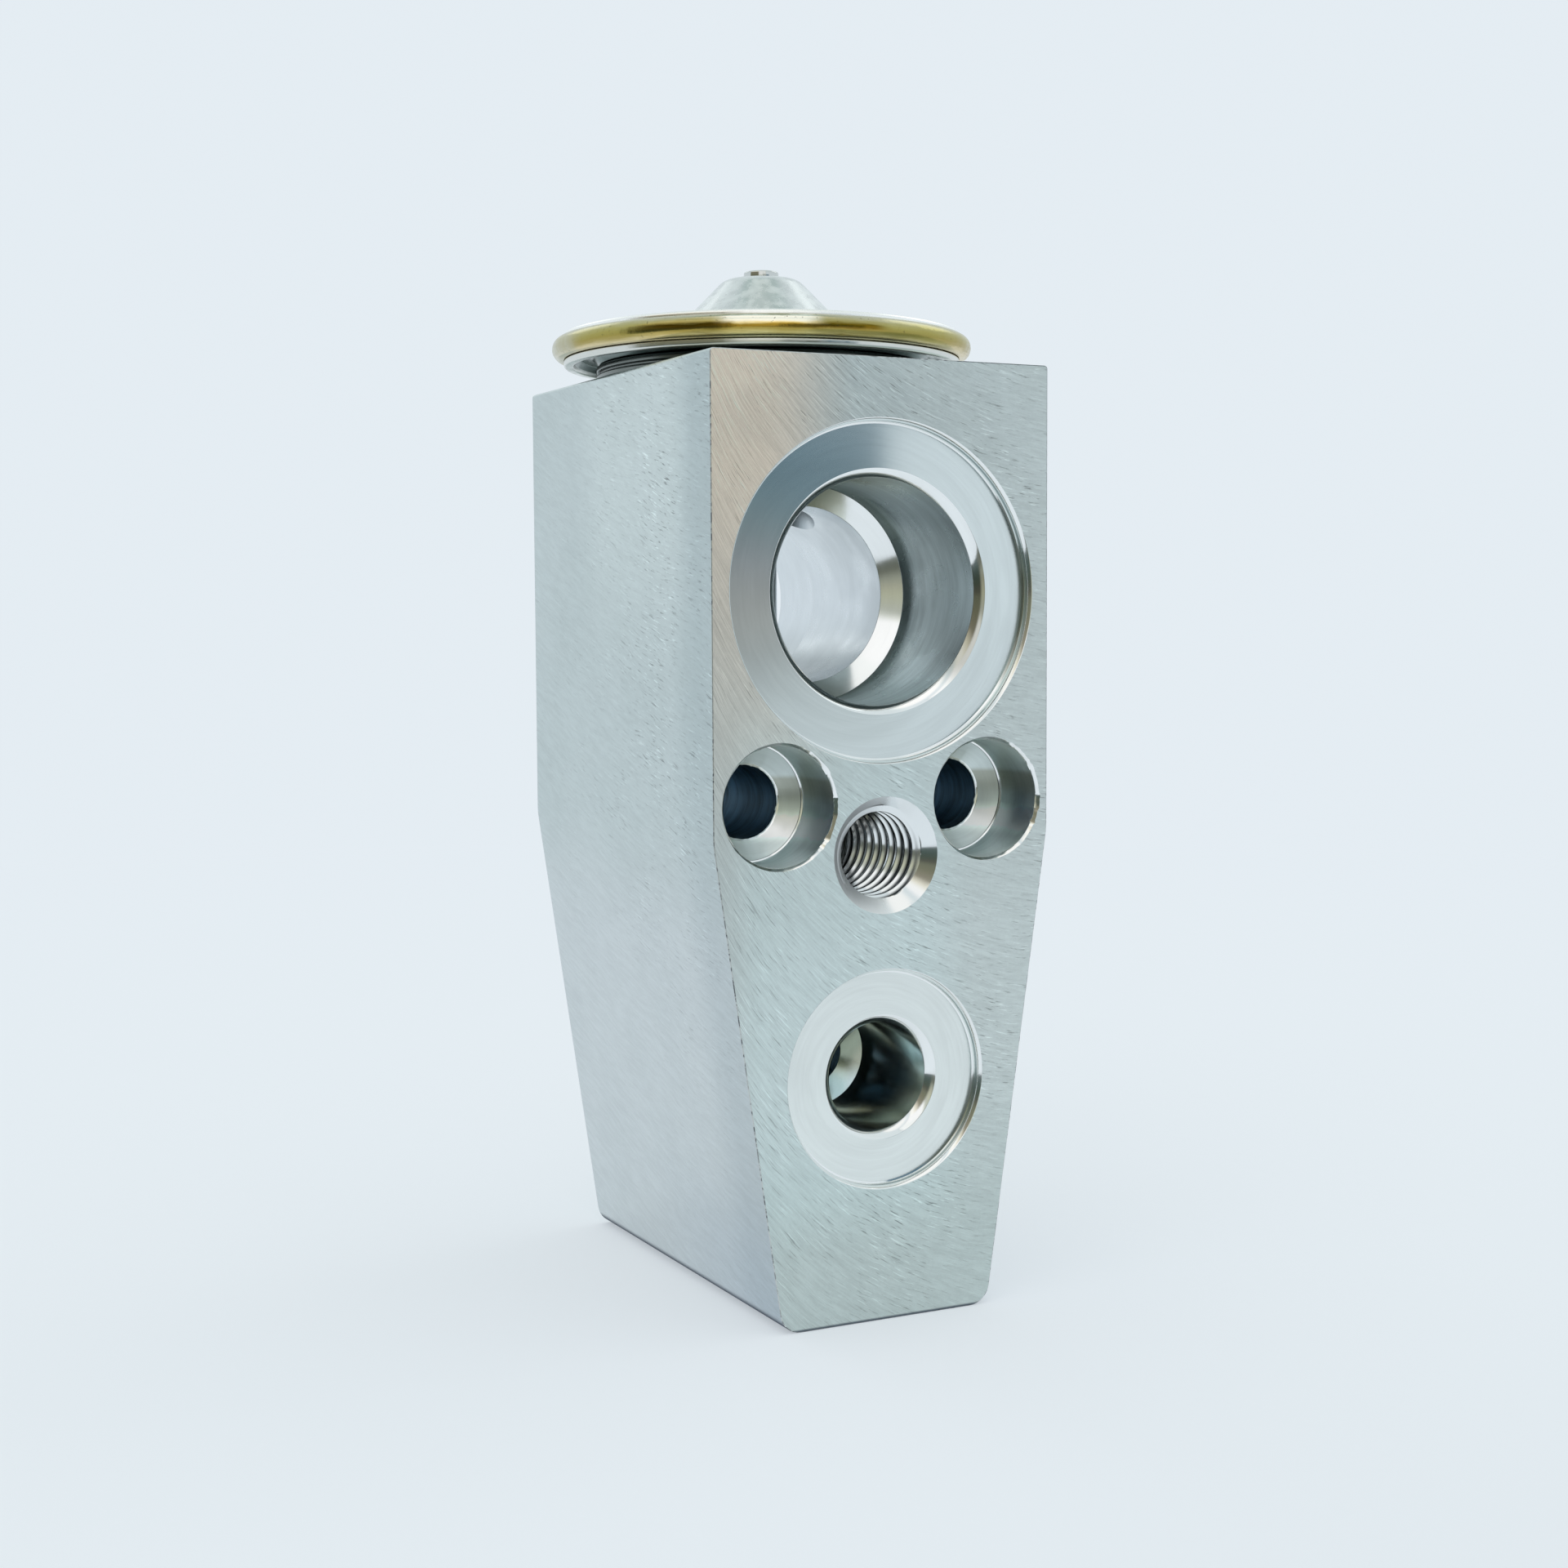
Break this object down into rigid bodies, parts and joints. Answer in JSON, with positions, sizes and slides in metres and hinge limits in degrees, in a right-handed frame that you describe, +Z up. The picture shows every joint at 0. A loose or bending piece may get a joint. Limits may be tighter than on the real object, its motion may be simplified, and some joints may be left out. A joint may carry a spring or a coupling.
{
  "type": "expansion valve",
  "caption": "Block-type thermostatic expansion valve: machined aluminium block with suction and liquid ports, bolt holes and a diaphragm capsule on top.",
  "frame": {"origin": "under the middle of the whole outline, at the level of the block's foot", "axes": "+Z up along the valve axis towards the capsule, -Y out of the hose side with the large and the small port, +Y out of the evaporator side, +X to the right as the hose side is seen"},
  "size_m": [0.036, 0.0398, 0.086],
  "materials": {
    "machined_aluminium": "milled, satin",
    "pressed_stainless": "pressed, satin",
    "boss_steel": "turned, satin",
    "holder_steel": "turned",
    "spring_steel": "drawn",
    "weld_tint": "heat tinted weld bead",
    "plug_steel": "polished",
    "ball_steel": "polished",
    "adjuster_brass": "turned",
    "seal_rubber": "matt"
  },
  "bodies": {
    "valve_block": {"valve_body": "machined_aluminium", "upper_cover": "pressed_stainless", "fill_plug": "plug_steel", "rim_weld": "weld_tint", "diaphragm": "spring_steel", "lower_cover": "pressed_stainless", "mounting_boss": "boss_steel", "element_seal_ring": "seal_rubber", "rod_seal_ring": "seal_rubber", "seal_retainer": "holder_steel", "valve_spring": "spring_steel"},
    "valve_train": {"diaphragm_stop": "holder_steel", "operating_rod": "holder_steel", "valve_ball": "ball_steel", "ball_holder": "holder_steel", "damping_spring": "spring_steel"},
    "adjuster_carriage": {"adjusting_screw_seal": "seal_rubber"},
    "adjuster": {"adjusting_screw": "adjuster_brass"}
  },
  "joints": [
    {"name": "valve_lift", "type": "slide", "parent": "valve_block", "child": "valve_train", "axis": [0, 0, -1], "range_m": [0, 0.0008], "stiffness_N_per_m": 8000, "deforming": ["valve_spring"]},
    {"name": "adjuster_travel", "type": "slide", "parent": "valve_block", "child": "adjuster_carriage", "axis": [0, 0, 1], "range_m": [-0.00102, 0.00102], "deforming": ["valve_spring"]},
    {"name": "adjuster_turn", "type": "hinge", "parent": "adjuster_carriage", "child": "adjuster", "pos_m": [0, 0.00193, 0.0012], "axis": [0, 0, 1], "range_deg": [-360, 360]}
  ],
  "couplings": [
    {"joint": "adjuster_travel", "follows": "adjuster_turn", "m_per_rad": 0.00015915}
  ]
}
